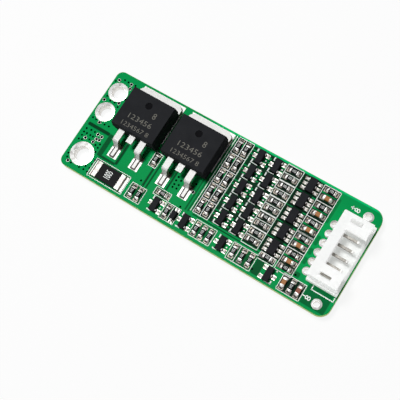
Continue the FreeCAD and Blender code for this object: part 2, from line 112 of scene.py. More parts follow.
class Graph:
    def __init__(self, tree):
        self.tree = tree
        self.tree.nodes.clear()

    def add(self, kind, settings=None, inputs=None, output=0):
        made = self.tree.nodes.new(kind)
        for name, value in (settings or {}).items():
            setattr(made, name, value)
        for name, value in (inputs or {}).items():
            if isinstance(value, Signal):
                self.tree.links.new(value.socket, made.inputs[name])
            else:
                made.inputs[name].default_value = value
        return Signal(self, made.outputs[output]) if len(made.outputs) else made

    def mixColour(self, factor, first, second):
        # The colour sockets of a Mix node come after its number and vector sockets.
        return self.add("ShaderNodeMix", {"data_type": "RGBA"}, {0: factor, 6: first, 7: second}, 2)

    def noise(self, vector, scale, detail=2.0, roughness=0.5):
        inputs = {"Vector": vector, "Scale": scale, "Detail": detail, "Roughness": roughness}
        return self.add("ShaderNodeTexNoise", {}, inputs)

    def objectCoordinates(self, stretch=(1, 1, 1)):
        # Object coordinates in millimetres, so that scales read as marks per millimetre.
        coordinates = self.add("ShaderNodeTexCoord", output="Object")
        scale = tuple(1000 * value for value in stretch)
        return self.add("ShaderNodeMapping", {}, {"Vector": coordinates, "Scale": scale})

    def grain(self, scale, detail=2.0):
        return self.noise(self.objectCoordinates(), scale, detail)

    def axes(self, vector=None):
        # The X and Y values of a vector, or else of the object's coordinates.
        across = self.add("ShaderNodeSeparateXYZ", {}, {0: vector or self.objectCoordinates()})
        return across, across.output("Y")

    def rectangle(self, width, height):
        inputs = {"Width": width, "Height": height}
        return self.add("GeometryNodeCurvePrimitiveQuadrilateral", {"mode": "RECTANGLE"}, inputs)


def colour(red, green, blue):
    # An sRGB colour of 0 to 255 as linear RGBA.
    def linear(value):
        share = value / 255
        return share / 12.92 if share <= 0.04045 else ((share + 0.055) / 1.055) ** 2.4
    return (linear(red), linear(green), linear(blue), 1.0)


def newLook(name, build):
    material = bpy.data.materials.new(name)
    material.use_nodes = True
    graph = Graph(material.node_tree)
    graph.add("ShaderNodeOutputMaterial", {}, {"Surface": build(graph)})
    return material


def principled(graph, **values):
    names = {"base": "Base Color", "rough": "Roughness", "metal": "Metallic", "normal": "Normal",
             "level": "Specular IOR Level", "under": "Subsurface Weight", "underScale": "Subsurface Scale",
             "underReach": "Subsurface Radius", "glow": "Emission Strength", "glowColour": "Emission Color"}
    inputs = {names[key]: value for key, value in values.items()}
    return graph.add("ShaderNodeBsdfPrincipled", {}, inputs)


def bump(graph, height, strength, distance):
    inputs = {"Height": height, "Strength": strength, "Distance": distance * mm}
    return graph.add("ShaderNodeBump", {}, inputs)


# Looks

# Levels of the rows of small parts, in millimetres from the near edge
rowPitch = 3.41
rowLevels = [20.3 - rowPitch * index for index in range(5)]

maskSettings = {
    "copper": colour(0, 148, 76),       # mask over copper
    "edge": colour(0, 204, 120),        # mask along the far edge, which catches more light
    "laminate": colour(0, 34, 18),      # mask over bare laminate
    "roughness": 0.4,
    "shine": 0.015,
    "relief": 0.03,                     # copper thickness in millimetres
    "weaveRelief": 0.006,
    "gapSoftness": 0.12,
    "trackCover": 0.85,                 # how much of a gap a track covers
    "patchScale": 0.16,
    "weaveScale": 2.6,
    "evenTone": 0.86,
    "patchTone": 0.24,
    "weaveTone": 0.08,
    "edgeShare": 0.8,
    "edgeRise": (21.85, 22.2),          # where the light strip starts across the board
    "edgeStart": (20.0, 27.0),          # and along it
}
rowArea = (28.5, 50.9, 4.95, 21.9)      # left, right, low and high edges of the rows of parts

# Areas without copper, and over the rows of parts also painted shade between the parts: left, right, low
# and high edges, and how much darker they are
copperGapsAndRowShade = (
    (0.7, 6.0, 9.4, 10.1, 0.9), (5.95, 7.0, 5.0, 10.0, 0.75), (6.5, 10.3, 4.9, 5.4, 0.8),
    (10.15, 10.75, 5.2, 10.0, 0.85), (17.3, 17.75, 4.2, 12.4, 0.85), (18.12, 18.45, 4.2, 12.4, 0.85),
    (21.8, 22.15, 5.9, 12.4, 0.85), (27.1, 27.4, 4.5, 12.4, 0.7), (27.75, 28.0, 4.5, 22.0, 0.7),
    # The areas over the rows of parts (x from 28.45 to 50.9, y from about 4.9 to 22) also stand in for the
    # shade between the parts.
    (28.45, 32.15, 4.95, 21.95, 1.0), (32.2, 39.5, 4.95, 21.9, 0.95), (39.5, 43.1, 4.9, 21.95, 1.1),
    (43.1, 47.45, 5.0, 21.95, 1.0), (47.45, 50.9, 4.0, 21.8, 1.1), (29.0, 43.8, 4.42, 4.62, 1.0),
    (15.55, 18.85, 0.75, 4.0, 0.7), (20.2, 23.5, 4.15, 5.6, 0.8), (23.65, 26.7, 0.8, 4.0, 0.7),
    (30.35, 34.8, 0.8, 4.0, 0.6), (38.7, 43.7, 0.65, 4.0, 0.7), (44.0, 45.6, 0.6, 3.6, 0.75),
    (43.85, 47.1, 3.7, 5.0, 1.0), (49.65, 54.2, 0.55, 3.7, 1.0), (16.15, 17.75, 8.45, 11.4, 0.9),
    (51.0, 51.6, 15.6, 20.8, 0.4), (51.2, 51.9, 10.9, 12.9, 0.45), (51.2, 51.9, 8.9, 10.2, 0.5),
    (51.2, 51.9, 6.9, 8.2, 0.5), (51.0, 52.2, 4.1, 5.1, 0.6), (54.4, 59.3, 0.6, 4.4, 0.6),
    (6.65, 14.65, 0.7, 4.5, 0.5))
# Tracks that cross those areas, as left, right, low and high edges from each row's level
rowTracks = (
    (32.15, 33.5, 0.72, 0.95), (32.15, 32.6, -0.15, 0.12), (32.7, 33.5, -0.82, -0.6),
    (35.7, 36.3, 0.45, 1.05), (34.8, 35.9, 0.28, 0.5), (35.8, 36.5, -0.12, 0.12),
    (35.5, 36.4, -1.0, -0.78), (34.8, 35.9, -0.5, -0.3), (38.5, 39.5, 0.28, 0.5),
    (38.5, 39.5, -0.5, -0.3), (43.0, 44.5, -1.85, -1.62), (46.6, 47.4, -1.95, -1.6),
    (47.5, 48.3, -0.1, 0.25), (48.3, 50.7, -0.08, 0.1), (29.95, 30.2, 0.1, 1.1),
    (39.7, 42.9, -0.2, -0.05))


def boxMask(x, y, edges, corner=0.3, softness=0.06):
    left, right, low, high = edges[:4]
    reachX = abs(x - (left + right) / 2) - ((right - left) / 2 - corner)
    reachY = abs(y - (low + high) / 2) - ((high - low) / 2 - corner)
    outX, outY = reachX.atLeast(0.0), reachY.atLeast(0.0)
    distance = (outX * outX + outY * outY).power(0.5)
    return 1 - distance.ramp(corner - softness, corner + softness)


def maskLook(graph):
    # Green solder mask: lighter and slightly raised over copper, dark over the laminate between, with
    # painted shade over the rows of parts and a painted highlight along the far edge.
    settings = maskSettings
    across, along = graph.axes()
    x, y = across - boardLow.x / mm, along - boardLow.y / mm
    gapAndShade = None
    for edges in copperGapsAndRowShade:
        corner = min(0.3, (edges[1] - edges[0]) * 0.4, (edges[3] - edges[2]) * 0.4)
        mask = boxMask(x, y, edges, corner, settings["gapSoftness"]) * edges[4]
        gapAndShade = mask if gapAndShade is None else gapAndShade.atLeast(mask)
    # The rows of parts repeat, so their tracks are drawn once in a coordinate that repeats with them.
    fromRow = graph.add("ShaderNodeMath", {"operation": "WRAP"}, {
        0: y - rowLevels[0], 1: rowPitch / 2, 2: -rowPitch / 2})
    inRows = boxMask(x, y, rowArea, 0.1, 0.05)
    for left, right, low, high in rowTracks:
        centre = (low + high) / 2
        shift = rowPitch if centre < -rowPitch / 2 else 0.0
        edges = (left, right, low + shift, high + shift)
        track = boxMask(x, fromRow, edges, min(high - low, right - left) * 0.4)
        gapAndShade = gapAndShade * (1 - settings["trackCover"] * track * inRows)
    copper = 1 - gapAndShade
    patches = graph.grain(settings["patchScale"])
    weave = graph.grain(settings["weaveScale"], 3.0)
    patched = copper * (settings["evenTone"] + settings["patchTone"] * patches)
    tone = patched + settings["weaveTone"] * (weave - 0.5)
    strip = settings["edgeShare"] * y.ramp(*settings["edgeRise"]) * x.ramp(*settings["edgeStart"])
    base = graph.mixColour(tone, settings["laminate"], settings["copper"])
    base = graph.mixColour(strip, base, settings["edge"])
    height = copper * settings["relief"] + settings["weaveRelief"] * weave
    normal = bump(graph, height, 1.0, 1.0)
    return principled(graph, base=base, rough=settings["roughness"], normal=normal, level=settings["shine"])


def undersideLook(graph):
    patches = graph.grain(0.2)
    settings = maskSettings
    base = graph.mixColour(0.5 + 0.5 * patches, settings["laminate"], settings["copper"])
    normal = bump(graph, graph.grain(settings["weaveScale"], 3.0), 0.4, 0.01)
    return principled(graph, base=base, rough=settings["roughness"], normal=normal, level=settings["shine"])


def laminateEdgeLook(graph):
    # Sawn glass-epoxy: pale, with the layers of glass cloth showing as faint streaks.
    streaks = graph.noise(graph.objectCoordinates((0.6, 0.6, 7.0)), 1.2, 3.0)
    base = graph.mixColour(streaks.ramp(0.3, 0.7), colour(158, 186, 88), colour(212, 226, 150))
    return principled(graph, base=base, rough=0.6, normal=bump(graph, streaks, 0.4, 0.03))


def tinLook(graph):
    waves, fine = graph.grain(1.1), graph.grain(9.0)
    base = graph.mixColour(waves.ramp(0.3, 0.6), colour(158, 156, 152), colour(204, 204, 202))
    normal = bump(graph, waves + 0.1 * fine, 0.1, 0.05)
    return principled(graph, base=base, metal=0.6, rough=0.3 + 0.16 * fine, normal=normal)


def platingLook(graph):
    # The walls of the plated holes, with a painted glow standing in for light bounced inside them.
    waves = graph.grain(1.4)
    base = graph.mixColour(waves.ramp(0.3, 0.7), colour(200, 195, 188), colour(228, 226, 222))
    return principled(graph, base=base, rough=0.5, level=0.3, glow=0.23, glowColour=colour(250, 250, 248))


def solderLook(graph):
    waves = graph.grain(2.2)
    base = graph.mixColour(waves.ramp(0.36, 0.6), colour(124, 108, 92), colour(236, 230, 222))
    return principled(graph, base=base, metal=0.9, rough=0.3, normal=bump(graph, waves, 0.5, 0.12))


def filletLook(rim):
    # Solder with a painted highlight along the middle of its slope and painted shade at its foot, its sides
    # and top.
    def build(graph):
        waves = graph.grain(2.4)
        along, across = [graph.add("ShaderNodeAttribute", {"attribute_name": name}, output="Fac")
                         for name in ("along", "across")]
        along, across = along + 0.5 * (waves - 0.5), across + 0.7 * (waves - 0.5)
        bright = along.ramp(-0.05, 0.1) * (1 - along.ramp(0.8, 1.05)) * (1 - across.ramp(0.7, 1.1))
        base = graph.mixColour(bright, rim, colour(255, 253, 250))
        return principled(graph, base=base, metal=0.35, rough=0.36)
    return build


def landLook(dark, light):
    # Reflowed land: uneven tin, grey-brown where it thins out; for the chip lands both tones are dark, as
    # painted shade round the chips.
    def build(graph):
        waves = graph.grain(2.6)
        base = graph.mixColour(waves.ramp(0.38, 0.62), dark, light)
        return principled(graph, base=base, metal=0.6, rough=0.36, normal=bump(graph, waves, 0.5, 0.08))
    return build


# Where the shade behind a large lead's heel starts and ends, in millimetres from the heel
heelShade = ((-0.5, -0.3), (1.0, 1.2))
# How far the painted dark line of shade round the shunt lies outside its left, right, low and high edges
shuntShadeLine = (-0.42, 0.16, -0.12, 0.05)
# The same for the outside and the inside of the line round a large lead's foot, which is open at its heel
footShadeLines = (((0.08, 0.05, -0.05, 1.0), 0.1), ((0.34, -0.14, 0.24, 1.0), 0.08))


def offsetEdges(edges, offsets):
    return tuple(edge + offset for edge, offset in zip(edges, offsets))


def powerLandLook(graph):
    # Bright tin, with painted shade behind the bend of each large lead.
    along = graph.axes()[1]
    grain = graph.grain(1.5)
    heel = max(foot[3] for foot in powerFeet())
    start, end = [along.ramp(heel + low, heel + high) for low, high in heelShade]
    shade = start * (1 - end)
    tone = graph.mixColour(grain.ramp(0.3, 0.6), colour(204, 202, 198), colour(228, 227, 225))
    base = graph.mixColour(shade, tone, colour(56, 46, 38))
    return principled(graph, base=base, metal=0.15, rough=0.4, level=0.3)


def shuntLandLook(graph):
    # Bright tin with a dark line of painted shade along the ends of the shunt.
    low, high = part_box("shunt_end_caps")
    edges = offsetEdges((low.x / mm, high.x / mm, low.y / mm, high.y / mm), shuntShadeLine)
    shadeLine = boxMask(*graph.axes(), edges, 0.05, 0.03)
    grain = graph.grain(1.5)
    tone = graph.mixColour(grain.ramp(0.3, 0.6), colour(200, 196, 190), colour(226, 224, 220))
    base = graph.mixColour(shadeLine, tone, colour(66, 40, 30))
    return principled(graph, base=base, metal=0.1, rough=0.42, level=0.3)


def footLook(graph):
    # The foot of a large lead: bright inside a thin brown line of painted shade and reflection where its
    # soldered edges turn down.
    across, along = graph.axes()
    shadeLine = None
    for foot in powerFeet():
        outer, inner = [boxMask(across, along, offsetEdges(foot, offsets), corner, 0.02)
                        for offsets, corner in footShadeLines]
        line = outer - inner
        shadeLine = line if shadeLine is None else shadeLine.atLeast(line)
    base = graph.mixColour(shadeLine, colour(240, 239, 236), colour(34, 24, 18))
    return principled(graph, base=base, rough=0.42, level=0.2)


def leadLook(graph):
    grain = graph.grain(5.0, 3.0)
    base = graph.mixColour(grain.ramp(0.3, 0.7), colour(206, 205, 202), colour(226, 226, 224))
    normal = bump(graph, grain, 0.2, 0.01)
    return principled(graph, base=base, metal=0.05, rough=0.4 + 0.1 * grain, level=0.25, normal=normal)


def leadSideShadeLook(graph):
    # The steep sides and slopes of a lead, painted dark brown as shade.
    grain = graph.grain(4.0, 3.0)
    base = graph.mixColour(grain.ramp(0.35, 0.7), colour(84, 62, 52), colour(168, 154, 142))
    return principled(graph, base=base, metal=0.4, rough=0.45)


def contactLook(graph):
    # Tinned pins, with a painted highlight at the tip.
    grain = graph.grain(3.0, 3.0)
    shaft = graph.mixColour(grain.ramp(0.35, 0.65), colour(160, 155, 146), colour(190, 187, 180))
    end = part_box("header_pin_1")[1].x / mm
    tip = graph.axes()[0].ramp(end - 0.5, end - 0.35)
    base = graph.mixColour(tip, shaft, colour(252, 251, 248))
    return principled(graph, base=base, rough=0.5, level=0.2)


def endCapLook(graph):
    waves = graph.grain(3.0)
    base = graph.mixColour(waves.ramp(0.38, 0.54), colour(128, 116, 104), colour(252, 251, 248))
    normal = bump(graph, waves, 0.3, 0.04)
    return principled(graph, base=base, metal=0.15, rough=0.4, level=0.3, normal=normal)


def shuntCapLook(graph):
    waves = graph.grain(1.2)
    base = graph.mixColour(waves.ramp(0.3, 0.6), colour(184, 178, 170), colour(222, 219, 214))
    return principled(graph, base=base, metal=0.15, rough=0.4, level=0.3)


def epoxyLook(graph):
    coordinates = graph.objectCoordinates()
    grain = graph.noise(coordinates, 16.0, 3.0, 0.7)
    cloud = graph.noise(coordinates, 0.5)
    base = graph.mixColour(0.5 * cloud + 0.5 * grain, colour(26, 27, 29), colour(46, 47, 50))
    return principled(graph, base=base, rough=0.65, level=0.02, normal=bump(graph, grain, 0.5, 0.012))


def glazeLook(graph):
    cloud = graph.grain(1.4)
    base = graph.mixColour(cloud, colour(8, 8, 9), colour(20, 20, 22))
    return principled(graph, base=base, rough=0.45, level=0.04)


def nylonLook(graph):
    # Pale nylon, with a painted glow standing in for light scattered through it.
    cloud = graph.grain(0.7)
    base = graph.mixColour(cloud, colour(207, 208, 207), colour(217, 218, 217))
    return principled(graph, base=base, rough=0.45, level=0.2, under=0.9, underScale=1.6 * mm,
                      underReach=(1.0, 1.0, 1.0), glow=0.33, glowColour=colour(249, 250, 249))


def ceramicLook(dark, light):
    def build(graph):
        grain = graph.grain(6.0, 3.0)
        return principled(graph, base=graph.mixColour(grain, dark, light), rough=0.5, level=0.15)
    return build


def plainLook(base, rough, level):
    return lambda graph: principled(graph, base=base, rough=rough, level=level)


def printLook(graph):
    # Screen-printed ink: slightly uneven white.
    grain = graph.grain(4.0, 3.0)
    base = graph.mixColour(grain.ramp(0.25, 0.6), colour(222, 232, 224), colour(250, 252, 250))
    return principled(graph, base=base, rough=0.65)


footDepth = 0.05                        # corners this close to a lead's lowest one belong to its foot


def footOf(points):
    # The corners of a lead that stand on the board.
    base = min(point.z for point in points) + footDepth * mm
    return [point for point in points if point.z < base]


def powerFeet():
    # The feet of the large leads, as left, right, low and high edges in millimetres of the CAD frame.
    feet = []
    for node in nodes:
        if node.endswith(("_gate_lead", "_source_lead")):
            foot = footOf([vertex.co for vertex in nodes[node].data.vertices])
            across, up = [point.x / mm for point in foot], [point.y / mm for point in foot]
            feet.append((min(across), max(across), min(up), max(up)))
    return feet


looks = {name: newLook(name, build) for name, build in {
    "mask": maskLook, "underside": undersideLook, "laminateEdge": laminateEdgeLook, "plating": platingLook,
    "tin": tinLook, "solder": solderLook, "print": printLook,
    # The chip lands' dark tones are painted shade round the chips.
    "land": landLook(colour(22, 20, 18), colour(104, 96, 86)),
    "packageLand": landLook(colour(96, 88, 80), colour(226, 221, 213)),
    "powerLand": powerLandLook, "shuntLand": shuntLandLook, "shuntCap": shuntCapLook, "endCap": endCapLook,
    # The fillets' rim colours are their painted shade.
    "chipFillet": filletLook(colour(44, 38, 32)), "leadFillet": filletLook(colour(140, 132, 122)),
    "lead": leadLook, "leadSideShade": leadSideShadeLook, "foot": footLook, "contact": contactLook,
    "epoxy": epoxyLook, "glaze": glazeLook, "nylon": nylonLook,
    "tanCeramic": ceramicLook(colour(142, 92, 48), colour(180, 124, 74)),
    "brownCeramic": ceramicLook(colour(120, 66, 50), colour(156, 92, 74)),
    "dimple": plainLook(colour(19, 19, 21), 0.8, 0.02),
    "hole": plainLook(colour(0, 3, 1), 0.9, 0.0),
    "laserMark": plainLook(colour(108, 106, 98), 0.8, 0.5)}.items()}

# Each record slot's look, and the width of the rounding that its edges get, in millimetres
slotFinish = {
    "tinned_copper": ("tin", 0.0), "solder": ("solder", 0.0), "white_nylon": ("nylon", 0.14),
    "tinned_contact": ("contact", 0.05),
    "tan_ceramic": ("tanCeramic", 0.0), "brown_ceramic": ("brownCeramic", 0.0),
    "resistor_glaze": ("glaze", 0.0), "tinned_cap": ("endCap", 0.035), "black_epoxy": ("epoxy", 0.06),
    "tinned_lead": ("lead", 0.03)}
# Nodes whose look differs from that of their slot
nodeLooks = {"chip_lands": "land", "package_lands": "packageLand", "power_lands": "powerLand",
             "shunt_lands": "shuntLand", "shunt_end_caps": "shuntCap"}
slotOfNode = {row["node"]: row["material_slot"] for row in frame["record"]["subparts"]}


# Meshes

meshSettings = {
    "mergeDistance": 1e-7,
    "flatAngle": 0.5,           # degrees within which neighbouring triangles become one face
    "edgeAngle": 28,            # degrees past which an edge is rounded
    "boardRounding": 0.04,
    "level": 0.9,               # faces whose normal is at least this upright count as top or bottom
}
# Which faces of a lead are bright, by how upright their normal is; the rest take painted shade
leadSettings = {
    "smallSlope": 0.8,
    "largeSlope": 0.12,
    "footHeight": 1.0,          # a large lead's foot lies lower than this over the board
}
# Where the faces of a power case's dimple lie, in millimetres from its top, middle, front and back
dimpleSettings = {"skin": 0.01, "depth": 0.2, "reach": 1.0, "fromFront": 3.0, "fromBack": 1.0}


def newObject(name, data):
    made = bpy.data.objects.new(name, data)
    bpy.context.scene.collection.objects.link(made)
    return made


def newPiece(name, mesh, look, slotName):
    piece = newObject(name, mesh)
    mesh.materials.clear()
    mesh.materials.append(look)
    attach(piece, "root")
    return piece


def mergedMesh(node):
    # A copy of a CAD node's loose triangles, merged into flat faces.
    shape = bmesh.new()
    shape.from_mesh(nodes[node].data)
    bmesh.ops.remove_doubles(shape, verts=shape.verts, dist=meshSettings["mergeDistance"])
    flat = math.radians(meshSettings["flatAngle"])
    bmesh.ops.dissolve_limit(shape, angle_limit=flat, verts=shape.verts, edges=shape.edges)
    bmesh.ops.recalc_face_normals(shape, faces=shape.faces)
    mesh = bpy.data.meshes.new(node + "_skin")
    shape.to_mesh(mesh)
    shape.free()
    return mesh


def evaluated(piece, name):
    # The piece with its modifiers turned into a plain mesh, and the object itself removed.
    bpy.context.view_layer.update()
    graph = bpy.context.evaluated_depsgraph_get()
    mesh = bpy.data.meshes.new_from_object(piece.evaluated_get(graph))
    mesh.name = name
    bpy.data.objects.remove(piece)
    return mesh


def roundedMesh(mesh, name, width, segments=2):
    # The mesh with its edges rounded and its wide faces kept flat to the light.
    mesh.shade_smooth()
    piece = newObject(name, mesh)
    modifier = piece.modifiers.new("edges", "BEVEL")
    modifier.width = width * mm
    modifier.segments = segments
    modifier.limit_method = "ANGLE"
    modifier.angle_limit = math.radians(meshSettings["edgeAngle"])
    modifier.harden_normals = True
    piece.modifiers.new("normals", "WEIGHTED_NORMAL").weight = 100
    return evaluated(piece, name)


def islands(node):
    # The lowest and highest corner of each separate solid of a CAD node.
    mesh = mergedMesh(node)
    shape = bmesh.new()
    shape.from_mesh(mesh)
    unseen = set(shape.verts)
    boxes = []
    while unseen:
        front = [unseen.pop()]
        points = []
        while front:
            vertex = front.pop()
            points.append(vertex.co.copy())
            for edge in vertex.link_edges:
                other = edge.other_vert(vertex)
                if other in unseen:
                    unseen.remove(other)
                    front.append(other)
        low = Vector([min(point[axis] for point in points) for axis in range(3)])
        high = Vector([max(point[axis] for point in points) for axis in range(3)])
        boxes.append((low, high, points))
    shape.free()
    bpy.data.meshes.remove(mesh)
    return boxes


# CAD nodes: those with a rounding width get a rounded copy; the rest, such as the flat lands, keep their
# own mesh

def shadeLead(mesh, node):
    # Small leads are bright only on top; large ones and contacts on their slopes too. Steeper faces take
    # painted side shade.
    settings = leadSettings
    slope = settings["smallSlope"] if node.endswith("_leads") else settings["largeSlope"]
    mesh.materials.append(looks["leadSideShade"])
    mesh.materials.append(looks["foot"])
    for face in mesh.polygons:
        face.material_index = 0 if face.normal.z > slope else 1
        near = face.center.z < boardTop + settings["footHeight"] * mm
        if node.endswith("_lead") and near and face.normal.z > meshSettings["level"]:
            face.material_index = 2


def shadeDimple(mesh, node):
    # The round dimple in a power case's top is painted darker than the case, as shade in the recess.
    settings = inMetres(dimpleSettings)
    low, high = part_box(node)
    mesh.materials.append(looks["dimple"])
    for face in mesh.polygons:
        middle = face.center
        sunk = settings["skin"] < high.z - middle.z < settings["depth"]
        across = abs(middle.x - (low.x + high.x) / 2) < settings["reach"]
        along = low.y + settings["fromFront"] < middle.y < high.y - settings["fromBack"]
        if sunk and across and along:
            face.material_index = 1


def dressNodes():
    for node in sorted(nodes):
        slotName = slotOfNode[node]
        if node == "board":
            continue
        lookName, rounding = slotFinish[slotName]
        lookName = nodeLooks.get(node, lookName)
        if rounding == 0.0:
            source = nodes[node]
            source.data.materials.clear()
            source.data.materials.append(looks[lookName])
            continue
        mesh = roundedMesh(mergedMesh(node), node + "_finish", rounding)
        piece = newPiece(node + "_finish", mesh, looks[lookName], slotName)
        if lookName in ("lead", "contact"):
            shadeLead(mesh, node)
        if node.startswith("power_transistor") and node.endswith("_case"):
            shadeDimple(mesh, node)
        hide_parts(node)


def dressBoard():
    # The board's top, sawn sides, underside and plated holes are four finishes of one piece.
    mesh = roundedMesh(mergedMesh("board"), "board_finish", meshSettings["boardRounding"], 1)
    piece = newPiece("board_finish", mesh, looks["mask"], "green_laminate")
    for name in ("laminateEdge", "underside", "plating"):
        mesh.materials.append(looks[name])
    rings = [ring for node in nodes if node.endswith("_rings") for ring in islands(node)]
    for face in mesh.polygons:
        middle = face.center
        plated = any(low.x < middle.x < high.x and low.y < middle.y < high.y for low, high, _ in rings)
        if face.normal.z > meshSettings["level"]:
            face.material_index = 0
        elif face.normal.z < -meshSettings["level"]:
            face.material_index = 2
        else:
            face.material_index = 3 if plated else 1
    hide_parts("board")


# Geometry Nodes

def geometryTree(name, *labels):
    # A tree with a geometry input and output, a material and the labelled inputs.
    tree = bpy.data.node_groups.new(name, "GeometryNodeTree")
    kinds = {"Geometry": "NodeSocketGeometry", "Material": "NodeSocketMaterial", "Mark": "NodeSocketObject"}
    for label in ("Geometry", "Material") + labels:
        kind = kinds.get(label, "NodeSocketFloat")
        tree.interface.new_socket(label, in_out="INPUT", socket_type=kind)
    tree.interface.new_socket("Geometry", in_out="OUTPUT", socket_type=kinds["Geometry"])
    graph = Graph(tree)
    return graph, graph.add("NodeGroupInput")


def endTree(graph, start, geometry):
    real = graph.add("GeometryNodeRealizeInstances", {}, {0: geometry})
    inputs = {"Geometry": real, "Material": start.output("Material")}
    painted = graph.add("GeometryNodeSetMaterial", {}, inputs)
    graph.tree.links.new(painted.socket, graph.tree.nodes.new("NodeGroupOutput").inputs[0])
    return graph.tree


def endAtPoints(graph, start, instance, **inputs):
    # Ends a tree with the instance standing at each of its points.
    inputs = {"Points": start.output("Geometry"), "Instance": instance, **inputs}
    return endTree(graph, start, graph.add("GeometryNodeInstanceOnPoints", {}, inputs))


def grownPiece(name, source, tree, values, look, slotName):
    # Runs a tree on a mesh of points or lines and makes a piece of the plain mesh it gives.
    piece = newObject(name, source)
    modifier = piece.modifiers.new(name, "NODES")
    modifier.node_group = tree
    sockets = [item for item in tree.interface.items_tree if item.in_out == "INPUT"]
    identifiers = {item.name: item.identifier for item in sockets}
    for label, value in {**values, "Material": look}.items():
        modifier[identifiers[label]] = value
    return newPiece(name, evaluated(piece, name), look, slotName)


def pointMesh(name, points, attributes=None):
    mesh = bpy.data.meshes.new(name)
    mesh.from_pydata([tuple(point) for point in points], [], [])
    for label, (kind, values) in (attributes or {}).items():
        attribute = mesh.attributes.new(label, kind, "POINT")
        for item, value in zip(attribute.data, values):
            if kind == "FLOAT":
                item.value = value
            else:
                item.vector = value
    return mesh


def pointTurn(graph):
    turn = graph.add("GeometryNodeInputNamedAttribute", {"data_type": "FLOAT"}, {"Name": "turn"})
    return graph.add("ShaderNodeCombineXYZ", {}, {"Z": turn})


def lineTree():
    # Every edge of the input mesh becomes one printed line with a flat section.
    graph, start = geometryTree("printed lines", "Width", "Thickness")
    curve = graph.add("GeometryNodeMeshToCurve", {}, {0: start.output("Geometry")})
    flat = graph.add("GeometryNodeSetCurveNormal", {"mode": "Z_UP"}, {0: curve})
    section = graph.rectangle(start.output("Width"), start.output("Thickness"))
    inputs = {"Curve": flat, "Profile Curve": section, "Fill Caps": True}
    return endTree(graph, start, graph.add("GeometryNodeCurveToMesh", {}, inputs))


def ringTree():
    # A flat ring at every point, for the small plated holes.
    graph, start = geometryTree("ring field", "Outer radius", "Inner radius", "Thickness")
    outer, inner = start.output("Outer radius"), start.output("Inner radius")
    inputs = {"Resolution": viaSettings["sides"], "Radius": 0.5 * (outer + inner)}
    circle = graph.add("GeometryNodeCurvePrimitiveCircle", {"mode": "RADIUS"}, inputs)
    section = graph.rectangle(outer - inner, start.output("Thickness"))
    ring = graph.add("GeometryNodeCurveToMesh", {}, {"Curve": circle, "Profile Curve": section})
    return endAtPoints(graph, start, ring)


def discTree():
    # A flat disc at every point, painted dark as the shade inside the small plated holes.
    graph, start = geometryTree("disc field", "Radius")
    inputs = {"Vertices": viaSettings["sides"], "Radius": start.output("Radius")}
    disc = graph.add("GeometryNodeMeshCircle", {"fill_type": "NGON"}, inputs)
    return endAtPoints(graph, start, disc)


def filletTree():
    # A solder fillet at every point: high at the part it wets, thinning to the land's edge.
    graph, start = geometryTree("solder fillets", "Hollow", "Crown")
    steps = {"Vertices X": filletSettings["stepsAlong"], "Vertices Y": filletSettings["stepsAcross"]}
    grid = graph.add("GeometryNodeMeshGrid", {}, {"Size X": 1.0, "Size Y": 1.0, **steps})
    x, y = graph.axes(graph.add("GeometryNodeInputPosition"))
    along, across = x + 0.5, abs(y) * 2
    height = (1 - along).power(start.output("Hollow")) * (1 - across.power(start.output("Crown")))
    offset = graph.add("ShaderNodeCombineXYZ", {}, {"X": 0.5, "Z": height})
    shaped = graph.add("GeometryNodeSetPosition", {}, {"Geometry": grid, "Offset": offset})
    for name, value in (("along", along), ("across", across)):
        inputs = {"Geometry": shaped, "Name": name, "Value": value}
        shaped = graph.add("GeometryNodeStoreNamedAttribute", {}, inputs)
    size = graph.add("GeometryNodeInputNamedAttribute", {"data_type": "FLOAT_VECTOR"}, {"Name": "size"})
    return endAtPoints(graph, start, shaped, Rotation=pointTurn(graph), Scale=size)


def stampTree():
    # The same small mark at every point, turned by the point's own angle.
    graph, start = geometryTree("stamped marks", "Mark")
    mark = graph.add("GeometryNodeObjectInfo", {}, {"Object": start.output("Mark")}, "Geometry")
    return endAtPoints(graph, start, mark, Rotation=pointTurn(graph))


# Printed lines

printSettings = {
    "lineWidth": 0.13,
    "outlineWidth": 0.18,
    "heavyWidth": 0.26,
    "thickness": 0.13,                  # half of it inside the board, so that the lines clear the lands
    "level": 0.0,
}
rowBounds = [level - 1.8 for level in rowLevels[:-1]]

# Frames round groups of near-row parts: left, right, low and high edges
nearFrames = (
    (6.6, 14.7, 0.65, 4.55), (15.5, 18.85, 0.75, 4.0), (20.15, 23.55, 4.1, 5.65), (23.6, 26.75, 0.75, 4.05),
    (30.3, 34.85, 0.75, 4.1), (38.65, 43.8, 0.6, 4.0), (43.8, 47.1, 3.6, 5.0), (49.6, 54.25, 0.5, 3.75),
    (16.1, 17.8, 8.4, 11.4))
columnFrames = ((28.75, 32.05, 4.9, 22.0), (39.6, 43.0, 4.7, 21.95), (47.5, 50.95, 3.5, 21.8))
# Where the left sides of the outlines round three-lead packages stand, and the marks at their right
outlineSettings = {
    "columnSides": (33.15, 36.8),
    "columnMarks": (35.4, 38.95),
    "nearSides": (20.8, 27.45, 35.75),
    "nearMarks": (22.85, 29.55, 37.85),
    "nearLevel": 2.3,
    "markLength": 0.25,
    "reach": 1.55,                      # from a row's level to the ends of its outlines
    "corner": 0.15,                     # from a side to its corner
}


def frameLines(left, right, low, high):
    return [((left, low), (right, low)), ((right, low), (right, high)),
            ((right, high), (left, high)), ((left, high), (left, low))]


def thinLines():
    lines = []
    for edges in nearFrames + columnFrames:
        lines += frameLines(*edges)
    lines += [((30.35, 4.9), (30.35, 22.0)), ((25.25, 0.75), (25.25, 4.05)), ((40.3, 0.6), (40.3, 4.0))]
    for bound in rowBounds:
        lines += [((28.75, bound), (32.05, bound)), ((47.5, bound), (50.95, bound))]
    for level in rowLevels:
        lines.append(((39.6, level - 0.1), (43.0, level - 0.1)))
        for side in outlineSettings["columnSides"]:
            left, low = side - outlineSettings["corner"], level - outlineSettings["reach"]
            lines.append(((left, low), (left + 1.5, low)))
    lines.append(((28.25, 4.9), (28.25, 22.0)))
    return lines


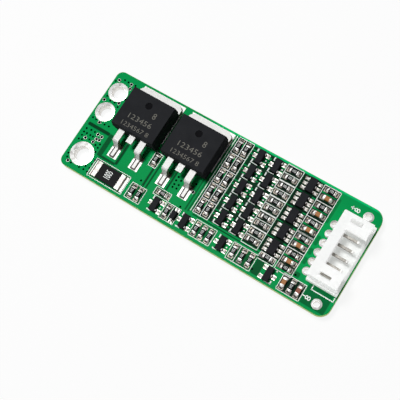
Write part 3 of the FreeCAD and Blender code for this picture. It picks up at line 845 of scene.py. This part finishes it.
def heavyLines():
    lines = [((39.6, bound), (43.0, bound)) for bound in rowBounds]
    lines += [((27.75, 18.8), (27.75, 21.9)), ((47.5, rowBounds[2]), (50.95, rowBounds[2]))]
    settings = outlineSettings
    marks = [(x, level) for x in settings["columnMarks"] for level in rowLevels]
    marks += [(x, settings["nearLevel"]) for x in settings["nearMarks"]]
    lines += [((x, y), (x + settings["markLength"], y)) for x, y in marks]
    for x in settings["columnSides"]:
        for level in rowLevels:
            low, high = level - settings["reach"], level + settings["reach"]
            lines += [((x, low), (x, level - 0.8)), ((x, level + 0.85), (x, high))]
    for x in settings["nearSides"]:
        lines += [((x, 3.25), (x, 3.95)), ((x - settings["corner"], 0.98), (x + 0.8, 0.98))]
    lines += [((47.0, 0.62), (48.4, 0.62)), ((48.3, 0.6), (48.3, 1.2)), ((48.3, 3.1), (48.3, 3.6))]
    return lines


def wideLines():
    # The outline of the header's mouth end and the polarity signs of the cell wires.
    return [((55.2, 4.4), (55.2, 3.6)), ((55.1, 3.6), (59.7, 3.6)), ((59.6, 3.6), (59.6, 4.4)),
            ((53.7, 20.5), (54.4, 20.5)), ((54.05, 20.15), (54.05, 20.85)), ((54.35, 2.0), (55.0, 2.0))]


def printedLines(name, lines, width):
    settings = printSettings
    points = [tuple(place(x, y, settings["level"])) for line in lines for x, y in line]
    mesh = bpy.data.meshes.new(name)
    mesh.from_pydata(points, [(start, start + 1) for start in range(0, len(points), 2)], [])
    values = {"Width": width * mm, "Thickness": settings["thickness"] * mm}
    grownPiece(name, mesh, trees["lines"], values, looks["print"], "green_laminate")


# Small plated holes: places in millimetres, open ones with a tinned ring and covered ones in the mask, each
# with a dark disc of painted shade over its hole
tinnedVias = (
    (3.82, 8.62), (4.82, 8.55), (4.12, 7.66), (4.76, 7.76), (1.96, 6.8), (3.82, 6.85), (1.57, 1.18),
    (2.62, 10.92), (1.06, 20.4), (3.8, 20.78), (4.06, 19.88), (0.7, 15.42), (3.8, 16.22), (26.75, 8.15))
coveredVias = (
    (1.05, 8.6), (2.1, 8.75), (3.0, 8.75), (1.0, 7.75), (1.7, 7.75), (2.55, 7.75), (3.2, 7.75),
    (1.0, 6.95), (2.9, 6.9), (4.65, 6.55), (5.4, 7.1), (5.4, 6.3), (0.9, 6.0), (1.55, 6.2), (5.5, 5.35),
    (6.8, 4.45), (7.8, 4.55), (6.35, 3.85), (6.35, 2.95), (6.35, 2.0), (6.35, 1.15), (0.75, 2.5),
    (1.0, 1.75), (2.4, 1.1), (4.35, 1.15), (5.4, 1.2), (5.4, 1.95), (0.85, 11.15), (1.65, 11.1),
    (3.8, 11.0), (4.8, 11.1), (2.1, 20.95), (3.0, 20.9), (4.7, 20.95), (0.5, 19.9), (0.8, 16.35),
    (1.95, 15.8), (2.95, 15.9), (4.05, 15.4), (4.5, 17.5), (16.7, 5.05), (22.7, 9.3), (23.55, 8.9),
    (22.65, 8.5), (26.5, 9.8), (26.2, 4.5), (51.42, 4.42), (44.1, 1.3), (22.75, 7.7), (22.75, 7.05),
    (23.6, 7.95), (23.6, 7.15))
viaSettings = {
    "outerRadius": 0.36,
    "innerRadius": 0.26,
    "coveredRadius": 0.21,
    "thickness": 0.03,
    "sides": 14,
    "ringLevel": 0.01,          # how far the rings' middle and the dark discs lie above the mask
    "discLevel": 0.02,
}


def plateVias():
    settings = viaSettings
    points = pointMesh("tinned_vias", [place(x, y, settings["ringLevel"]) for x, y in tinnedVias])
    values = {"Outer radius": settings["outerRadius"] * mm, "Inner radius": settings["innerRadius"] * mm,
              "Thickness": settings["thickness"] * mm}
    grownPiece("tinned_vias", points, trees["rings"], values, looks["tin"], "tinned_copper")
    for name, places, radius in (("via_holes", tinnedVias, settings["innerRadius"]),
                                 ("covered_vias", coveredVias, settings["coveredRadius"])):
        points = pointMesh(name, [place(x, y, settings["discLevel"]) for x, y in places])
        values = {"Radius": radius * mm}
        grownPiece(name, points, trees["discs"], values, looks["hole"], "green_laminate")


# Solder: fillets at chip ends and at the feet of leads

solderSettings = {
    "chipLength": 0.5,
    "inset": 0.1,              # how much narrower a fillet is than its chip
    "footLength": 0.36,
    "footRise": 0.24,
    "footSpread": 0.12,        # how much wider a fillet is than its lead
    "overlap": 0.02,           # how far it reaches into the part
}
filletSettings = {
    "chipRise": 0.75,          # share of a chip's height that the solder climbs
    "hollow": 1.7,             # how strongly the slope sags
    "crown": 4.0,              # how square the sides are
    "stepsAlong": 7,
    "stepsAcross": 9,
}


def middleOf(box):
    return (box[0] + box[1]) / 2


def outwards(away, alongX):
    step = math.copysign(1, away.x if alongX else away.y)
    return Vector((step, 0, 0)) if alongX else Vector((0, step, 0))


def fillet(foot, direction, length, width, rise):
    return foot, math.atan2(direction.y, direction.x), (length, width, rise)


def chipFillets():
    # One fillet for each end cap, pointing away from the body that the cap belongs to.
    settings = inMetres(solderSettings)
    fillets = []
    for node in nodes:
        if not node.endswith("_end_caps") or node == "shunt_end_caps":
            continue
        bodies = [middleOf(box) for box in islands(node.replace("_end_caps", "_bodies"))]
        for cap in islands(node):
            middle = middleOf(cap)
            body = min(bodies, key=lambda point: (point - middle).length)
            away = middle - body
            alongX = abs(away.x) > abs(away.y)
            direction = outwards(away, alongX)
            size = cap[1] - cap[0]
            reach, width = (size.x / 2, size.y) if alongX else (size.y / 2, size.x)
            foot = middle + direction * (reach - settings["overlap"])
            foot.z = seatLevel
            fillets.append(fillet(foot, direction, settings["chipLength"], width - settings["inset"],
                                  filletSettings["chipRise"] * size.z))
    return fillets


def footFillets():
    # One fillet in front of each small lead's foot.
    settings = inMetres(solderSettings)
    fillets = []
    for node in nodes:
        if not node.endswith("_leads"):
            continue
        for low, high, points in islands(node):
            size, middle = high - low, (low + high) / 2
            alongX = size.x > size.y
            foot = footOf(points)
            away = sum(foot, Vector()) / len(foot) - middle
            direction = outwards(away, alongX)
            if alongX:
                toe = Vector((high.x if away.x > 0 else low.x, middle.y, seatLevel))
            else:
                toe = Vector((middle.x, high.y if away.y > 0 else low.y, seatLevel))
            width = size.y if alongX else size.x
            fillets.append(fillet(toe - direction * settings["overlap"], direction, settings["footLength"],
                                  width + settings["footSpread"], settings["footRise"]))
    return fillets


def solderPieces():
    for name, look, fillets in (("chip_solder", looks["chipFillet"], chipFillets()),
                                ("lead_solder", looks["leadFillet"], footFillets())):
        places, turns, sizes = zip(*fillets)
        points = pointMesh(name, places, {"turn": ("FLOAT", turns), "size": ("FLOAT_VECTOR", sizes)})
        values = {"Hollow": filletSettings["hollow"], "Crown": filletSettings["crown"]}
        piece = grownPiece(name, points, trees["fillets"], values, look, "solder")
        piece.data.shade_smooth()


# Marks: plain numbers in place of the printed values

markSettings = {
    "chipCode": "102",
    "chipSize": (0.52, 0.74),     # width and height of the letters, as sizes of the font
    # Each line on a power case: its text, place across and up the case as shares, and letter sizes
    "caseLines": (("123456", 0.5, 0.34, (1.9, 1.55)), ("1234567 8", 0.5, 0.13, (1.52, 1.3)),
                  ("8", 0.72, 0.58, (1.7, 1.8))),
    "shuntCode": "1005",
    "shuntSize": (0.92, 2.1),
    # The figures after the polarity signs of the cell wires
    "boardFigures": (("plus_figure", 55.05, 20.45), ("minus_figure", 55.5, 1.95)),
    "boardSize": (1.9, 1.55),
    "boardLevel": 0.02,
    # How much bolder the strokes are drawn, as a share of the size
    "chipGrowth": 0.0,
    "caseGrowth": -0.008,
    "strokeGrowth": 0.004,
    "level": 0.01,
}


def textMesh(name, text, size, growth):
    wide, high = size
    curve = bpy.data.curves.new(name, "FONT")
    curve.body = text
    curve.size = high * mm
    curve.offset = growth * high * mm
    curve.align_x = "CENTER"
    curve.align_y = "CENTER"
    curve.resolution_u = 2
    mesh = evaluated(newObject(name, curve), name)
    mesh.transform(Matrix.Diagonal((wide / high, 1, 1, 1)))
    return mesh


def turnedText(name, text, size, spot, quarterTurns, growth=markSettings["strokeGrowth"]):
    mesh = textMesh(name, text, size, growth)
    mesh.transform(Matrix.Translation(spot) @ Matrix.Rotation(quarterTurns * math.pi / 2, 4, "Z"))
    return mesh


def topOf(low, high, across=0.5, up=0.5):
    # A point just over a box's top, at shares of its width and depth.
    size = high - low
    return Vector((low.x + across * size.x, low.y + up * size.y, high.z + markSettings["level"] * mm))


def chipMarks():
    settings = markSettings
    points, turns = [], []
    for node in nodes:
        if not node.endswith("resistor_bodies"):
            continue
        for low, high, _ in islands(node):
            points.append(topOf(low, high))
            turns.append(0.0 if high.x - low.x > high.y - low.y else math.pi / 2)
    text = textMesh("mark", settings["chipCode"], settings["chipSize"], settings["chipGrowth"])
    mark = newObject("mark", text)
    points = pointMesh("chip_marks", points, {"turn": ("FLOAT", turns)})
    grownPiece("chip_marks", points, trees["stamps"], {"Mark": mark}, looks["print"], "resistor_glaze")
    bpy.data.objects.remove(mark)


def caseMarks():
    settings = markSettings
    for number in (1, 2):
        low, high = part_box("power_transistor_%d_case" % number)
        for index, (line, across, up, letters) in enumerate(settings["caseLines"]):
            name = "case_mark_%d_%d" % (number, index + 1)
            mesh = turnedText(name, line, letters, topOf(low, high, across, up), 0, settings["caseGrowth"])
            newPiece(name, mesh, looks["laserMark"], "black_epoxy")


def shuntMark():
    settings = markSettings
    spot = topOf(*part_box("shunt_body"))
    mesh = turnedText("shunt_mark", settings["shuntCode"], settings["shuntSize"], spot, 1)
    newPiece("shunt_mark", mesh, looks["print"], "resistor_glaze")


def boardMarks():
    settings = markSettings
    for name, x, y in settings["boardFigures"]:
        mesh = turnedText(name, "8", settings["boardSize"], place(x, y, settings["boardLevel"]), 1)
        newPiece(name, mesh, looks["print"], "green_laminate")


# Stage, light and camera

stageSettings = {
    "floorSize": 3.0,
    "floorColour": colour(253, 253, 253),
    "floorGlow": 0.9,            # share of the floor's white that is its own, as on a light table
    "fillStrength": 0.03,
    "horizon": (0.1, 0.7),       # where the ground's colour ends and the sky's begins
    "skyColour": colour(250, 251, 253),
    "groundColour": colour(70, 66, 62),
    "keyPlace": (-0.1, 0.03, 0.41),
    "keySize": 0.12,
    "keyPower": 1.6,
    # A low weak lamp from the near right, for the sides that face the camera
    "sidePlace": (0.08, -0.42, 0.12),
    "sideSize": 0.2,
    "sidePower": 0.35,
}
cameraSettings = {
    "place": (39.653, -27.546, 145.638),
    "aim": (-1.252, -3.681, 2.4),
    "roll": -28.336,
    "lens": 71.88,
    "sensor": 36,
    "nearest": 0.001,
    "farthest": 20,
}


def floorLook(graph):
    # White table, part of it shining by itself so that its shadows stay light.
    settings = stageSettings
    white = settings["floorColour"]
    table = graph.add("ShaderNodeBsdfDiffuse", {}, {"Color": white})
    glow = graph.add("ShaderNodeEmission", {}, {"Color": white, "Strength": 1.0})
    return graph.add("ShaderNodeMixShader", {}, {0: settings["floorGlow"], 1: table, 2: glow})


def makeStage():
    settings = stageSettings
    half = settings["floorSize"] / 2
    mesh = bpy.data.meshes.new("floor")
    corners = [(-half, -half, 0), (half, -half, 0), (half, half, 0), (-half, half, 0)]
    mesh.from_pydata(corners, [], [(0, 1, 2, 3)])
    mesh.materials.append(newLook("floor", floorLook))
    floor = newObject("floor", mesh)
    world = bpy.data.worlds.new("studio")
    world.use_nodes = True
    graph = Graph(world.node_tree)
    direction = graph.add("ShaderNodeTexCoord", output="Generated")
    height = graph.add("ShaderNodeSeparateXYZ", {}, {0: direction}).output("Z")
    rays = graph.add("ShaderNodeLightPath")
    mirrored = rays.output("Is Glossy Ray").atLeast(rays.output("Is Transmission Ray"))
    bright = rays.output("Is Camera Ray").atLeast(mirrored)
    white = height.ramp(*settings["horizon"]).atLeast(rays.output("Is Camera Ray"))
    tone = graph.mixColour(white, settings["groundColour"], settings["skyColour"])
    strength = settings["fillStrength"] + bright * (1 - settings["fillStrength"])
    sky = graph.add("ShaderNodeBackground", {}, {"Color": tone, "Strength": strength})
    graph.add("ShaderNodeOutputWorld", {}, {"Surface": sky})
    bpy.context.scene.world = world
    for name in ("key", "side"):
        light = bpy.data.lights.new(name, "AREA")
        light.shape = "DISK"
        light.size = settings[name + "Size"]
        light.energy = settings[name + "Power"]
        lamp = newObject(name, light)
        lamp.location = settings[name + "Place"]
        lamp.rotation_euler = (-Vector(settings[name + "Place"])).to_track_quat("-Z", "Y").to_euler()


def makeCamera():
    settings = cameraSettings
    camera = newObject("camera", bpy.data.cameras.new("camera"))
    camera.data.sensor_width = settings["sensor"]
    camera.data.lens = settings["lens"]
    camera.data.clip_start = settings["nearest"]
    camera.data.clip_end = settings["farthest"]
    position, aim = Vector(settings["place"]) * mm, Vector(settings["aim"]) * mm
    facing = (aim - position).to_track_quat("-Z", "Y")
    roll = Matrix.Rotation(math.radians(settings["roll"]), 4, "Z")
    camera.matrix_world = Matrix.Translation(position) @ facing.to_matrix().to_4x4() @ roll
    bpy.context.scene.camera = camera


trees = {"lines": lineTree(), "rings": ringTree(), "discs": discTree(),
         "fillets": filletTree(), "stamps": stampTree()}
print("dressing the CAD nodes")
dressNodes()
dressBoard()
print("printing lines and marks")
printedLines("printed_frames", thinLines(), printSettings["lineWidth"])
printedLines("printed_bars", heavyLines(), printSettings["heavyWidth"])
printedLines("printed_outline", wideLines(), printSettings["outlineWidth"])
chipMarks()
caseMarks()
shuntMark()
boardMarks()
print("plating vias")
plateVias()
print("soldering")
solderPieces()
print("stage and camera")
makeStage()
makeCamera()
bpy.context.scene.view_settings.view_transform = "Standard"
